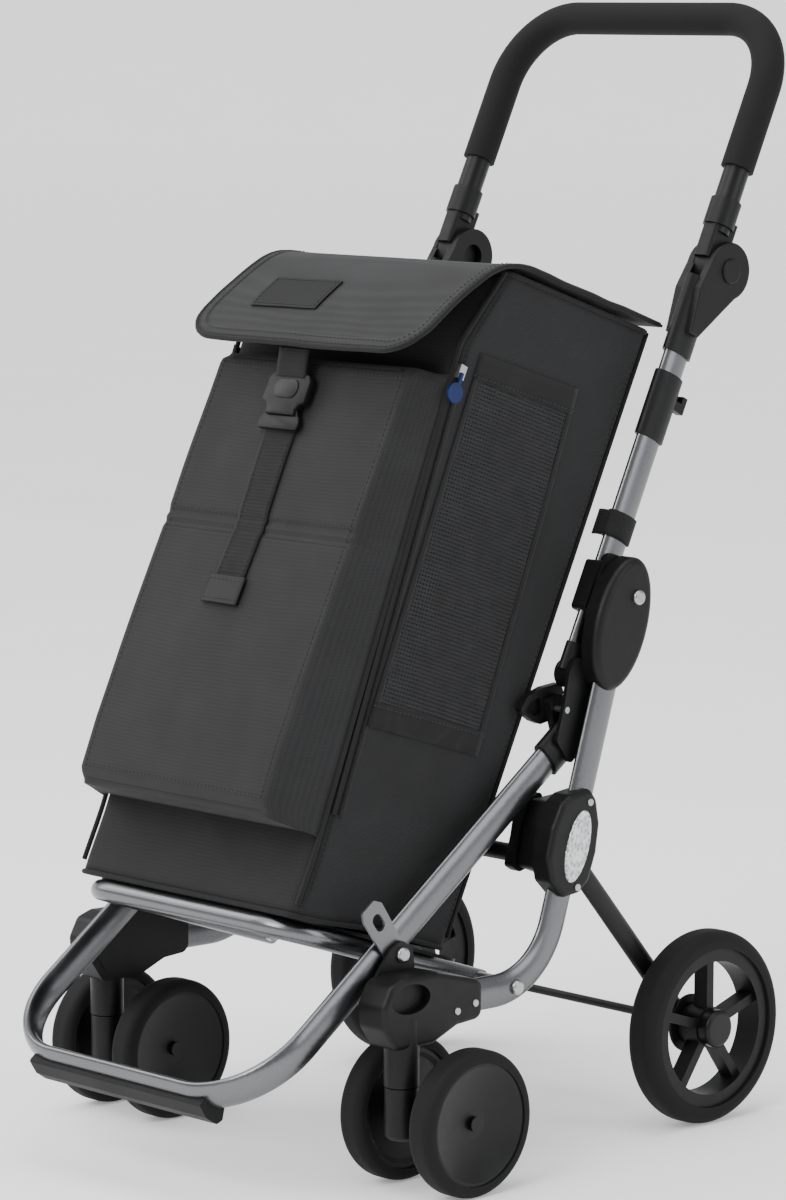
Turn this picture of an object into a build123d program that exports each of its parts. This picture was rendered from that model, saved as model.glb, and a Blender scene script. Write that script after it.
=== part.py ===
from build123d import *
import os
from math import cos, hypot, radians, sin

os.makedirs("parts", exist_ok=True)

# Four-wheeled folding shopping trolley. +Z is up, the bag's flap faces -Y, the handle is at +Y,
# and the trolley is symmetric about X = 0 apart from the zip, the strap and the flap's patch.

# ---- driving dimensions (mm) ----
TUBE_THIN, TUBE_LONG, TUBE_WALL = 13.0, 30.0, 1.5   # flat-oval frame tube
UPRIGHT_X, SIDE_X, CASTOR_X, LEG_X = 167.0, 188.0, 196.0, 174.0
LEAN = 25.8                                          # uprights lean back, degrees from vertical
FOOT_Y, FOOT_Z = 57.0, 430.0                         # axis where the upright's foot sits in its latch
PIVOT_Y, PIVOT_Z = 110.0, 497.0                      # upright folds about this axis
FRONT_ANGLE, FRONT_LENGTH = 36.0, 475.0              # diagonal front frame
FRONT_BAR_Y, FRONT_BAR_Z, FRONT_CORNER = -331.0, 96.5, 78.0
KNEE_Y, KNEE_Z = 35.0, 283.0                         # rear legs fold about this axis
REAR_Y, REAR_Z, REAR_R, REAR_X, REAR_HALF = 204.0, 90.0, 90.0, 199.0, 16.0
CASTOR_Y, TRAIL, CASTOR_R, CASTOR_HALF, TWIN = -181.0, 41.0, 65.0, 13.5, 43.0
HINGE_U, HINGE_V = 401.0, -19.0                      # handle hinge, along and in front of the upright
HANDLE_TOP_U, HANDLE_CORNER, HANDLE_R, GRIP_R = 645.0, 70.0, 12.0, 15.5
BAG_HALF = 144.0
CENTRE_Y = -5.98                                       # shift that centres the finished trolley on Y = 0
RUN = 0.05                                           # radial running clearance
BOLT_R = 4.0

SIN, COS = sin(radians(LEAN)), cos(radians(LEAN))
FSIN, FCOS = sin(radians(FRONT_ANGLE)), cos(radians(FRONT_ANGLE))


def at(u, v=0.0):
    """Y and Z of the point u up the upright's line and v in front of it."""
    return FOOT_Y + u * SIN - v * COS, FOOT_Z + u * COS + v * SIN


def on_front(s, n=0.0):
    """Y and Z of the point s up the front frame's arm and n above it."""
    return FRONT_BAR_Y + s * FCOS - n * FSIN, FRONT_BAR_Z + s * FSIN + n * FCOS


def side(x):
    """Plane facing +X at x, with Y and Z as its own axes."""
    return Plane.YZ.offset(x)


def bag_side(x):
    """Plane facing -X at x, with v and u as its own axes."""
    return Plane(origin=(x, FOOT_Y, FOOT_Z), x_dir=(0, -COS, SIN), z_dir=(-1, 0, 0))


def across_upright(x, u, v=0.0):
    """Plane square to the upright at u: its x axis is X and its z axis runs up the upright."""
    return Plane(origin=(x, *at(u, v)), x_dir=(1, 0, 0), z_dir=(0, SIN, COS))


def bag_front(u, v):
    """Plane facing forwards from the bag at u and v: its x axis is X and its y axis runs up."""
    return Plane(origin=(0, *at(u, v)), x_dir=(1, 0, 0), z_dir=(0, -COS, SIN))


def export(part, name):
    """Write one node, moved so that the trolley's bounding box is centred on Y = 0."""
    placed = part.moved(Location((0, CENTRE_Y, 0)))
    placed.label = name
    export_step(placed, f"parts/{name}.step")


def export_sides(right, name):
    """Write the right-hand piece and its mirror image as two nodes."""
    export(right.part, f"{name}_right")
    with BuildPart() as left:
        mirror(right.part, about=Plane.YZ)
    export(left.part, f"{name}_left")


def export_pair(right, name):
    """Write the right-hand piece and its mirror image as one node of two solids."""
    with BuildPart() as pair:
        add(right.part)
        mirror(right.part, about=Plane.YZ)
    export(pair.part, name)


def slab(points, x0, x1, edge=0.0):
    """Plate with a Y, Z outline between x0 and x1, its long edges rounded."""
    with BuildPart() as plate:
        with BuildSketch(side(x0)):
            Polygon(*points, align=None)
        extrude(amount=x1 - x0)
        if edge:
            fillet(plate.edges().filter_by(Axis.X), edge)
    return plate.part


def rod(x0, x1, y, z, radius):
    """Round bar along X."""
    with BuildPart() as bar:
        with BuildSketch(side(x0)):
            with Locations((y, z)):
                Circle(radius)
        extrude(amount=x1 - x0)
    return bar.part


def dome_bolt(x0, x1, y, z, shank, head, height):
    """Bolt along X with a domed head standing on x1."""
    with BuildPart() as bolt:
        add(rod(x0, x1 + 0.02, y, z, shank))
        with BuildSketch(side(x1 + 0.02)):
            with Locations((y, z)):
                Circle(head)
        extrude(amount=height)
        fillet(bolt.edges().group_by(Axis.X)[-1], height * 0.7)
    return bolt.part


# ---- outer shapes of the tubes, used again as sockets ----
SIDE_TOP, SIDE_KNEE, SIDE_FRONT = (112.0, 526.0), (-4.2, 160.0), (-150.0, 162.5)
SIDE_BEND = 75.0


def side_tube_solid(grow, bore):
    """Bent side tube: down from the upright's pivot, then forwards to the castor bracket."""
    with BuildPart() as tube:
        with BuildLine(side(SIDE_X)) as path:
            FilletPolyline(SIDE_TOP, SIDE_KNEE, SIDE_FRONT, radius=SIDE_BEND)
        start = path.line @ 0
        with BuildSketch(Plane(origin=start, x_dir=(1, 0, 0), z_dir=path.line % 0)):
            Ellipse(TUBE_THIN / 2 + grow, TUBE_LONG / 2 + grow)
            if bore:
                Ellipse(TUBE_THIN / 2 - TUBE_WALL, TUBE_LONG / 2 - TUBE_WALL, mode=Mode.SUBTRACT)
        sweep()
    return tube.part


FRONT_PLANE = Plane(origin=(0, FRONT_BAR_Y, FRONT_BAR_Z), x_dir=(1, 0, 0), z_dir=(0, -FSIN, FCOS))


def front_tube_solid(grow, bore):
    """Front U: two diagonal arms joined by the low front bar."""
    with BuildPart() as tube:
        with BuildLine(FRONT_PLANE) as path:
            FilletPolyline(
                (UPRIGHT_X, FRONT_LENGTH),
                (UPRIGHT_X, 0),
                (-UPRIGHT_X, 0),
                (-UPRIGHT_X, FRONT_LENGTH),
                radius=FRONT_CORNER,
            )
        with BuildSketch(Plane(origin=path.line @ 0, x_dir=(1, 0, 0), z_dir=path.line % 0)):
            Ellipse(TUBE_THIN / 2 + grow, TUBE_LONG / 2 + grow)
            if bore:
                Ellipse(TUBE_THIN / 2 - TUBE_WALL, TUBE_LONG / 2 - TUBE_WALL, mode=Mode.SUBTRACT)
        sweep()
    return tube.part


def oval_along_upright(u0, u1, long, thin, v=0.0):
    """Flat-oval bar along the right-hand upright from u0 to u1."""
    with BuildPart() as bar:
        with BuildSketch(across_upright(UPRIGHT_X, u0, v)):
            Ellipse(thin / 2, long / 2)
        extrude(amount=u1 - u0)
    return bar.part


SIDE_SOLID = side_tube_solid(0.03, False)
FRONT_SOLID = front_tube_solid(0.03, False)

# ---- bolts that hold the chassis together ----
BRACE_S, BRACE_N = 199.0, -7.0                       # bolt through the front frame's arm
BRACE_Y, BRACE_Z = on_front(BRACE_S, BRACE_N)
DECK_Y, DECK_Z = -38.0, 162.0                        # bolt through the side tube and the platform
DECK_ARM_X, DECK_R = 138.0, 9.5                      # platform tube
DECK_FRONT_Y, DECK_FRONT_Z, DECK_CORNER = -258.0, 236.0, 42.0

# ---- side tubes ----
with BuildPart() as side_tube:
    add(side_tube_solid(0.0, True))
    for bolt_y, bolt_z in ((PIVOT_Y, PIVOT_Z), (DECK_Y, DECK_Z), (KNEE_Y, KNEE_Z)):
        add(rod(SIDE_X - 10, SIDE_X + 10, bolt_y, bolt_z, BOLT_R + 0.02), mode=Mode.SUBTRACT)
export_pair(side_tube, "side_tubes")

# ---- front frame ----
with BuildPart() as front_frame:
    add(front_tube_solid(0.0, True))
    for sign in (1, -1):
        add(rod(sign * UPRIGHT_X - 10, sign * UPRIGHT_X + 10, BRACE_Y, BRACE_Z, BOLT_R + 0.02),
            mode=Mode.SUBTRACT)
export(front_frame.part, "front_frame_tube")

# ---- platform under the bag ----
DECK_RUN = hypot(DECK_Y - DECK_FRONT_Y, DECK_Z - DECK_FRONT_Z)
DECK_DIR = ((DECK_Y - DECK_FRONT_Y) / DECK_RUN, (DECK_Z - DECK_FRONT_Z) / DECK_RUN)
DECK_PLANE = Plane(
    origin=(0, DECK_FRONT_Y, DECK_FRONT_Z),
    x_dir=(1, 0, 0),
    z_dir=(0, -DECK_DIR[1], DECK_DIR[0]),
)
with BuildPart() as platform_tube:
    with BuildLine(DECK_PLANE) as deck_path:
        FilletPolyline(
            (DECK_ARM_X, DECK_RUN + 12),
            (DECK_ARM_X, 0),
            (-DECK_ARM_X, 0),
            (-DECK_ARM_X, DECK_RUN + 12),
            radius=DECK_CORNER,
        )
    with BuildSketch(Plane(origin=deck_path.line @ 0, x_dir=(1, 0, 0), z_dir=deck_path.line % 0)):
        Circle(DECK_R)
        Circle(DECK_R - 1.2, mode=Mode.SUBTRACT)
    sweep()
    for sign in (1, -1):
        add(rod(sign * DECK_ARM_X - 12, sign * DECK_ARM_X + 12, DECK_Y, DECK_Z, BOLT_R + 0.02),
            mode=Mode.SUBTRACT)
export(platform_tube.part, "platform_tube")

BOARD_GAP, BOARD_T = DECK_R + 0.05, 3.0
with BuildPart() as base_board:
    with BuildSketch(DECK_PLANE.offset(BOARD_GAP)):
        with Locations((0, DECK_RUN / 2 - 2)):
            RectangleRounded(2 * DECK_ARM_X - 4, DECK_RUN - 8, 30)
    extrude(amount=BOARD_T)
    with BuildSketch(DECK_PLANE.offset(-4)):
        with Locations((0, DECK_RUN / 2 + 8)):
            RectangleRounded(2 * DECK_ARM_X - 50, DECK_RUN - 60, 20)
    extrude(amount=BOARD_GAP + 4)
export(base_board.part, "base_board")

# ---- castor brackets: socket for the side tube, bearing for the castor, lug to the front frame ----
BRACKET_LOW_Z, BRACKET_TOP_Z, STEM_R, PIN_R = 97.5, 178.0, 15.5, 6.0
PIN_TOP_Z = 152.0
with BuildPart() as castor_bracket:
    add(slab([(-96, 180), (-96, 146), (-126, 144), (-156, 132), (-200, 132), (-214, 152), (-216, 172),
              (-206, 190), (-190, 195), (-150, 194)], 178.5, 211, 9))
    fillet(castor_bracket.edges().group_by(Axis.X)[-1], 5)
    with BuildSketch(Plane.XY.offset(BRACKET_LOW_Z)):
        with Locations((CASTOR_X, CASTOR_Y)):
            Circle(STEM_R)
    extrude(amount=60)
    add(slab([(-216, 168), (-196, 140), (-176, 140), (-150, 186), (-153, 212), (-166, 221), (-180, 214)],
             177.9, 181, 6))
    with BuildSketch(side(212)):
        with Locations((-184, 176)):
            Ellipse(23, 13)
    extrude(amount=-9, mode=Mode.SUBTRACT)
    with BuildSketch(Plane.XY.offset(BRACKET_LOW_Z)):
        with Locations((CASTOR_X, CASTOR_Y)):
            Circle(PIN_R + RUN)
    extrude(amount=PIN_TOP_Z - BRACKET_LOW_Z + 1, mode=Mode.SUBTRACT)
    add(SIDE_SOLID, mode=Mode.SUBTRACT)
    add(rod(170, 186, BRACE_Y, BRACE_Z, BOLT_R + 0.02), mode=Mode.SUBTRACT)
    for screw_y, screw_z in ((-128, 157), (-106, 161)):
        add(rod(203, 212, screw_y, screw_z, 2.02), mode=Mode.SUBTRACT)
export_pair(castor_bracket, "castor_brackets")

# ---- front fittings: sockets on the ends of the diagonal arms, with the ear of the latch ----
LEVER_Y, LEVER_Z = 40.0, 400.0
with BuildPart() as front_fitting:
    with BuildSketch(Plane(origin=(UPRIGHT_X, *on_front(440)), x_dir=(1, 0, 0), z_dir=(0, FCOS, FSIN))):
        Ellipse(9.5, 18)
    extrude(amount=44)
    add(slab([on_front(452, -15), on_front(488, -12), (78, 410), (74, 430), (66, 444), (50, 446),
              (42, 434), (36, 405), on_front(452, 14)], 176, 179.8, 5))
    add(slab([on_front(462, -8), on_front(488, -6), (58, 402), (48, 412), (30, 408), on_front(466, 12)],
             158.0, 166, 4))
    add(front_tube_solid(0.03, False), mode=Mode.SUBTRACT)
    add(rod(150, 190, LEVER_Y, LEVER_Z, 3.02), mode=Mode.SUBTRACT)
export_pair(front_fitting, "front_fitting")

# ---- latch levers: scoops inside the front fittings ----
with BuildPart() as latch_lever:
    add(slab([(2, 401), (12, 413), (32, 419), (54, 421), (58, 412), (50, 398), (40, 388), (28, 386),
              (18, 390)], 150.2, 157.6, 3))
    add(slab([(8, 399), (14, 407), (28, 411), (30, 396), (22, 394)], 152.4, 158, 2), mode=Mode.SUBTRACT)
    add(rod(150, 158, LEVER_Y, LEVER_Z, 3.0 + RUN), mode=Mode.SUBTRACT)
export_sides(latch_lever, "latch_lever")

# ---- tab brackets: slotted sheet-metal hooks on the front frame ----
with BuildPart() as tab_bracket:
    add(slab([on_front(190, -19), on_front(201, -19), on_front(209, -4), on_front(211, 44),
              on_front(205, 52), on_front(189, 52), on_front(185, 44), on_front(185, -8)],
             173.9, 176.4, 2.5))
    with BuildSketch(Plane(origin=(180, *on_front(198, 32)), x_dir=(0, -FSIN, FCOS), z_dir=(1, 0, 0))):
        SlotOverall(17, 11)
    extrude(amount=-10, mode=Mode.SUBTRACT)
    add(rod(160, 180, BRACE_Y, BRACE_Z, BOLT_R + 0.02), mode=Mode.SUBTRACT)
    add(FRONT_SOLID, mode=Mode.SUBTRACT)
export_pair(tab_bracket, "tab_bracket")

# ---- kick pad under the front bar ----
PAD_HALF = 114.0
PAD_PLANE = Plane(
    origin=(-PAD_HALF, FRONT_BAR_Y, FRONT_BAR_Z), x_dir=(0, FCOS, FSIN), z_dir=(1, 0, 0)
)
with BuildPart() as kick_pad:
    with BuildSketch(PAD_PLANE):
        Polygon((-11, 3), (-12, -12), (-7, -25), (0, -27), (8, -20), (10, -8), (10, 3), align=None)
    extrude(amount=2 * PAD_HALF)
    fillet(kick_pad.edges().filter_by(Axis.X), 2.5)
    add(FRONT_SOLID, mode=Mode.SUBTRACT)
export(kick_pad.part, "kick_pad")

# ---- knee shells round the side tubes, with a reflector on each ----
with BuildPart() as knee_shell:
    add(slab([(12, 322), (22, 328), (48, 331), (56, 320), (60, 298), (56, 272), (46, 247), (34, 238),
              (14, 236), (-2, 252), (-7, 274), (0, 300)], 181.2, 203, 7))
    fillet(knee_shell.edges().group_by(Axis.X)[-1], 5)
    with BuildSketch(Plane(origin=(204, 30, 281), x_dir=(0, -0.953, 0.302), z_dir=(1, 0, 0))):
        Ellipse(14.1, 33.1)
    extrude(amount=-4, mode=Mode.SUBTRACT)
    add(SIDE_SOLID, mode=Mode.SUBTRACT)
    add(rod(175, 200, KNEE_Y, KNEE_Z, BOLT_R + 0.02), mode=Mode.SUBTRACT)
    for screw_y, screw_z in ((46, 319), (30, 244)):
        add(rod(198, 205, screw_y, screw_z, 2.02), mode=Mode.SUBTRACT)
export_pair(knee_shell, "knee_shells")

with BuildPart() as reflector:
    with BuildSketch(Plane(origin=(200, 30, 281), x_dir=(0, -0.953, 0.302), z_dir=(1, 0, 0))):
        Ellipse(14, 33)
    extrude(amount=5)
    fillet(reflector.edges().group_by(Axis.X)[-1], 2)
export_pair(reflector, "reflectors")

# ---- oval covers over the upright pivots ----
with BuildPart() as pivot_cover:
    cover_plane = Plane(
        origin=(180, 94, 474), x_dir=(0, -cos(radians(19.3)), sin(radians(19.3))), z_dir=(1, 0, 0)
    )
    with BuildSketch(cover_plane):
        Ellipse(33, 61.5)
    extrude(amount=19)
    fillet(pivot_cover.edges().group_by(Axis.X)[-1], 7)
    add(SIDE_SOLID, mode=Mode.SUBTRACT)
    add(rod(178, 210, PIVOT_Y, PIVOT_Z, BOLT_R + 0.02), mode=Mode.SUBTRACT)
export_pair(pivot_cover, "pivot_covers")

# ---- cross bar behind the bag, hung from the diagonal arms ----
CROSS_Y, CROSS_Z = 8.0, 270.0
with BuildPart() as cross_bar:
    add(rod(-158, 158, CROSS_Y, CROSS_Z, 8))
    for x0, x1 in ((150, 160.2), (-160.2, -150)):
        add(slab([(-10, 262), (0, 256), (16, 260), (27, 286), (33, 306), (27, 326), (4, 318), (-2, 288)],
                 x0, x1, 4))
    add(FRONT_SOLID, mode=Mode.SUBTRACT)
export(cross_bar.part, "cross_bar")

# ---- rear legs: flat-oval legs joined by the axle, folding under the side tubes ----
LEG_RUN = hypot(REAR_Y - KNEE_Y, KNEE_Z - REAR_Z)
LEG_DIR = (0, (REAR_Y - KNEE_Y) / LEG_RUN, (REAR_Z - KNEE_Z) / LEG_RUN)
AXLE_R, LEG_LONG, LEG_THIN = 4.0, 20.0, 12.0
with BuildPart() as rear_leg:
    with BuildSketch(Plane(origin=(LEG_X, KNEE_Y, KNEE_Z), x_dir=(1, 0, 0), z_dir=LEG_DIR)):
        Ellipse(LEG_THIN / 2, LEG_LONG / 2)
    extrude(amount=LEG_RUN)
    add(rod(LEG_X - 6, LEG_X + 6, REAR_Y, REAR_Z, 13))
    add(rod(LEG_X - 6, LEG_X + 6, KNEE_Y, KNEE_Z, 13))
    add(rod(160, 190, REAR_Y, REAR_Z, AXLE_R + 0.02), mode=Mode.SUBTRACT)
    add(rod(160, 190, KNEE_Y, KNEE_Z, BOLT_R + RUN), mode=Mode.SUBTRACT)
export_pair(rear_leg, "rear_legs")

with BuildPart() as leg_housing:
    add(slab([(-5, 262), (2, 300), (12, 321), (50, 323), (58, 300), (60, 276), (50, 254), (26, 250)],
             160.5, 180.9, 6))
    fillet(leg_housing.edges().group_by(Axis.X)[0], 3)
    with BuildSketch(Plane(origin=(LEG_X, KNEE_Y, KNEE_Z), x_dir=(1, 0, 0), z_dir=LEG_DIR)):
        Ellipse(LEG_THIN / 2 + 0.02, LEG_LONG / 2 + 0.02)
    extrude(amount=90, mode=Mode.SUBTRACT)
    add(rod(LEG_X - 6.1, LEG_X + 6.1, KNEE_Y, KNEE_Z, 13.1), mode=Mode.SUBTRACT)
    add(rod(150, 190, KNEE_Y, KNEE_Z, BOLT_R + RUN), mode=Mode.SUBTRACT)
export_pair(leg_housing, "leg_housings")

with BuildPart() as rear_axle:
    add(rod(-218, 218, REAR_Y, REAR_Z, AXLE_R))
export(rear_axle.part, "rear_axle")

with BuildPart() as brake_drum:
    add(rod(LEG_X + 6.1, LEG_X + 8.4, REAR_Y, REAR_Z, 27))
    fillet(brake_drum.edges().group_by(Axis.X)[-1], 1)
    add(rod(170, 190, REAR_Y, REAR_Z, AXLE_R + 0.02), mode=Mode.SUBTRACT)
export_pair(brake_drum, "brake_drums")

# ---- rear wheels: five-spoke rim, tyre and hub cap ----
RIM_R, RIM_OPENING_R, HUB_R, CAP_R, SPOKES = 74.0, 62.0, 19.0, 17.5, 5
with BuildPart() as rear_rim:
    add(rod(REAR_X - 13, REAR_X + 13, REAR_Y, REAR_Z, RIM_R))
    add(rod(REAR_X - 14, REAR_X + 14, REAR_Y, REAR_Z, RIM_OPENING_R), mode=Mode.SUBTRACT)
    add(rod(REAR_X - 15, REAR_X + 8, REAR_Y, REAR_Z, HUB_R))
    with BuildSketch(side(REAR_X - 8)):
        with Locations((REAR_Y, REAR_Z)):
            with PolarLocations(0, SPOKES, start_angle=18):
                with Locations((RIM_OPENING_R / 2 + 8, 0)):
                    Rectangle(RIM_OPENING_R - 12, 9)
    extrude(amount=16)
    add(rod(REAR_X - 20, REAR_X + 20, REAR_Y, REAR_Z, AXLE_R + RUN), mode=Mode.SUBTRACT)
export_sides(rear_rim, "rear_rim")

with BuildPart() as rear_tyre:
    add(rod(REAR_X - REAR_HALF, REAR_X + REAR_HALF, REAR_Y, REAR_Z, REAR_R))
    fillet(rear_tyre.edges(), 11)
    add(rod(REAR_X - 20, REAR_X + 20, REAR_Y, REAR_Z, RIM_R + 0.02), mode=Mode.SUBTRACT)
export_sides(rear_tyre, "rear_tyre")

with BuildPart() as hub_cap:
    add(rod(REAR_X + 8.1, REAR_X + 21, REAR_Y, REAR_Z, CAP_R))
    fillet(hub_cap.edges().group_by(Axis.X)[-1], 4)
    add(rod(REAR_X + 8, REAR_X + 19.5, REAR_Y, REAR_Z, AXLE_R + 0.6), mode=Mode.SUBTRACT)
export_sides(hub_cap, "hub_cap")

# ---- castors: fork with kingpin, axle, and two dished wheels each ----
AXLE_Y = CASTOR_Y + TRAIL
FORK_TOP_Z, FORK_HALF = 96.5, 26.0
with BuildPart() as castor_fork:
    with BuildSketch(Plane.XY.offset(50)):
        with Locations((CASTOR_X, CASTOR_Y)):
            Circle(STEM_R - 0.5)
    extrude(amount=FORK_TOP_Z - 50)
    fillet(castor_fork.edges().group_by(Axis.Z)[0], 6)
    with BuildSketch(Plane.XY.offset(FORK_TOP_Z)):
        with Locations((CASTOR_X, CASTOR_Y)):
            Circle(PIN_R)
    extrude(amount=PIN_TOP_Z - FORK_TOP_Z)
    add(slab([(CASTOR_Y - 6, 55), (AXLE_Y - 4, 51), (AXLE_Y + 12, 58), (AXLE_Y + 13, 72),
              (AXLE_Y + 2, 80), (CASTOR_Y - 4, 92)], CASTOR_X - 12, CASTOR_X + 12, 5))
    add(rod(CASTOR_X - FORK_HALF, CASTOR_X + FORK_HALF, AXLE_Y, CASTOR_R, 12))
    add(rod(CASTOR_X - 40, CASTOR_X + 40, AXLE_Y, CASTOR_R, AXLE_R + 0.02), mode=Mode.SUBTRACT)
export_sides(castor_fork, "castor_fork")

WHEEL_OUT = TWIN + 4.0                               # outer face of a castor wheel's hub
with BuildPart() as castor_axle:
    add(rod(CASTOR_X - WHEEL_OUT - 1, CASTOR_X + WHEEL_OUT + 1, AXLE_Y, CASTOR_R, AXLE_R))
    for x0, x1 in ((WHEEL_OUT + 0.3, WHEEL_OUT + 4.3), (-WHEEL_OUT - 4.3, -WHEEL_OUT - 0.3)):
        add(rod(CASTOR_X + x0, CASTOR_X + x1, AXLE_Y, CASTOR_R, 6.5))
export_sides(castor_axle, "castor_axle")

HUB_R_OUT = 54.0


def castor_hub(out):
    """Hub disc of one castor wheel, dished on the side that faces out (+1 or -1)."""
    face = CASTOR_X + out * TWIN
    with BuildPart() as hub:
        with BuildSketch(Plane(origin=(face, AXLE_Y, CASTOR_R), x_dir=(0, 1, 0), z_dir=(0, 0, -out))):
            with BuildLine():
                ThreePointArc((51, 12), (33, 7), (14, 4))
                Polyline((14, 4), (AXLE_R + RUN, 4), (AXLE_R + RUN, -16.5), (15, -16.5), (18, -9),
                         (46, -7), (50, -10.5), (HUB_R_OUT, -10.5), (HUB_R_OUT, 12), (51, 12))
            make_face()
        revolve(axis=Axis((face, AXLE_Y, CASTOR_R), (1, 0, 0)))
    return hub


def castor_tyre(out):
    """Tyre of one castor wheel."""
    face = CASTOR_X + out * TWIN
    with BuildPart() as tyre:
        add(rod(face - CASTOR_HALF, face + CASTOR_HALF, AXLE_Y, CASTOR_R, CASTOR_R))
        fillet(tyre.edges(), 8)
        add(rod(face - 20, face + 20, AXLE_Y, CASTOR_R, HUB_R_OUT + 0.02), mode=Mode.SUBTRACT)
    return tyre


for place, out in (("outer", 1), ("inner", -1)):
    export_sides(castor_hub(out), f"castor_hub_{place}")
    export_sides(castor_tyre(out), f"castor_tyre_{place}")

# ---- uprights: one flat-oval tube a side from the latch foot to the handle hinge ----
TUBE_LOW_U, TUBE_HIGH_U = 8.0, 372.0
with BuildPart() as upright_tube:
    add(oval_along_upright(TUBE_LOW_U, TUBE_HIGH_U, TUBE_LONG, TUBE_THIN))
    add(oval_along_upright(TUBE_LOW_U - 1, TUBE_HIGH_U + 1, TUBE_LONG - 3, TUBE_THIN - 3),
        mode=Mode.SUBTRACT)
    add(rod(150, 190, PIVOT_Y, PIVOT_Z, BOLT_R + RUN), mode=Mode.SUBTRACT)
export_pair(upright_tube, "upright_tubes")

SLEEVE_LONG, SLEEVE_THIN = 35.0, 18.0


def sleeve(u0, u1):
    """Oval sleeve that hugs the upright tube."""
    with BuildPart() as tube:
        add(oval_along_upright(u0, u1, SLEEVE_LONG, SLEEVE_THIN))
        fillet(tube.edges(), 1.2)
        add(oval_along_upright(u0 - 1, u1 + 1, TUBE_LONG + 0.04, TUBE_THIN + 0.04), mode=Mode.SUBTRACT)
    return tube.part


with BuildPart() as upright_foot:
    add(oval_along_upright(0, 26, SLEEVE_LONG - 2, 16.5))
    add(rod(158.4, 175.6, FOOT_Y, FOOT_Z, 13))
    add(oval_along_upright(TUBE_LOW_U - 0.02, 40, TUBE_LONG + 0.04, TUBE_THIN + 0.04), mode=Mode.SUBTRACT)
export_pair(upright_foot, "upright_feet")

with BuildPart() as pivot_plate:
    add(slab([at(48, 16), at(44, -12), at(66, -32), at(94, -32), at(116, -12), at(112, 16)],
             175.6, 179.4, 6))
    add(slab([at(56, 18), at(56, -27), at(104, -27), at(104, 18)], 158, 175.7, 4))
    add(oval_along_upright(40, 120, TUBE_LONG + 0.04, TUBE_THIN + 0.04), mode=Mode.SUBTRACT)
    add(rod(150, 190, PIVOT_Y, PIVOT_Z, BOLT_R + RUN), mode=Mode.SUBTRACT)
export_pair(pivot_plate, "pivot_plates")

with BuildPart() as coupling_sleeve:
    add(sleeve(227, 290))
    with BuildSketch(across_upright(UPRIGHT_X, 262, -22)):
        Rectangle(8, 14)
    extrude(amount=9)
    with BuildSketch(across_upright(UPRIGHT_X, 271, -26)):
        Rectangle(8, 6)
    extrude(amount=7)
    add(oval_along_upright(220, 300, TUBE_LONG + 0.04, TUBE_THIN + 0.04), mode=Mode.SUBTRACT)
export_pair(coupling_sleeve, "coupling_sleeves")

with BuildPart() as bag_loop:
    add(oval_along_upright(128, 153, TUBE_LONG + 5, TUBE_THIN + 5))
    with BuildSketch(across_upright(UPRIGHT_X - 10, 128, 12)):
        Rectangle(17, 3)
    extrude(amount=25)
    add(oval_along_upright(120, 160, TUBE_LONG + 0.6, TUBE_THIN + 0.6), mode=Mode.SUBTRACT)
export_pair(bag_loop, "bag_loops")

# ---- handle hinges: sleeve with two cheeks on the upright, knuckle on the handle ----
HINGE_Y, HINGE_Z = at(HINGE_U, HINGE_V)
CHEEK_R, BUTTON_R = 26.5, 11.5
with BuildPart() as hinge_sleeve:
    add(oval_along_upright(310, 384, SLEEVE_LONG, SLEEVE_THIN))
    for x0, x1 in ((174, 182), (151, 160)):
        add(rod(x0, x1, HINGE_Y, HINGE_Z, CHEEK_R))
        add(slab([at(330, 6), at(330, -6), at(384, -38), at(402, -45), at(402, 7), at(372, 12)], x0, x1))
    fillet(hinge_sleeve.edges().group_by(Axis.X)[-1], 2)
    add(rod(158, 176, HINGE_Y, HINGE_Z, CHEEK_R + 0.6), mode=Mode.SUBTRACT)
    add(oval_along_upright(300, TUBE_HIGH_U + 0.02, TUBE_LONG + 0.04, TUBE_THIN + 0.04), mode=Mode.SUBTRACT)
    add(rod(150, 190, HINGE_Y, HINGE_Z, BUTTON_R + RUN), mode=Mode.SUBTRACT)
export_pair(hinge_sleeve, "hinge_sleeves")

with BuildPart() as hinge_knuckle:
    add(rod(158.3, 175.7, HINGE_Y, HINGE_Z, CHEEK_R - 0.5))
    with BuildSketch(across_upright(UPRIGHT_X, 404, -3)):
        RectangleRounded(17.4, 30, 4)
    extrude(amount=40)
    with BuildSketch(across_upright(UPRIGHT_X, 436)):
        Circle(14.5)
    extrude(amount=26)
    with BuildSketch(across_upright(UPRIGHT_X, 430)):
        Circle(HANDLE_R + 0.02)
    extrude(amount=40, mode=Mode.SUBTRACT)
    add(rod(150, 190, HINGE_Y, HINGE_Z, BUTTON_R + RUN), mode=Mode.SUBTRACT)
export_pair(hinge_knuckle, "hinge_knuckles")

with BuildPart() as hinge_button:
    add(rod(158.5, 184.5, HINGE_Y, HINGE_Z, BUTTON_R))
    fillet(hinge_button.edges().group_by(Axis.X)[-1], 2)
export_sides(hinge_button, "hinge_button")

# ---- handle: one bent tube with a foam grip ----
HANDLE_PLANE = Plane(origin=(0, *at(0)), x_dir=(1, 0, 0), z_dir=(0, -COS, SIN))
GRIP_LOW_U = 494.0


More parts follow.
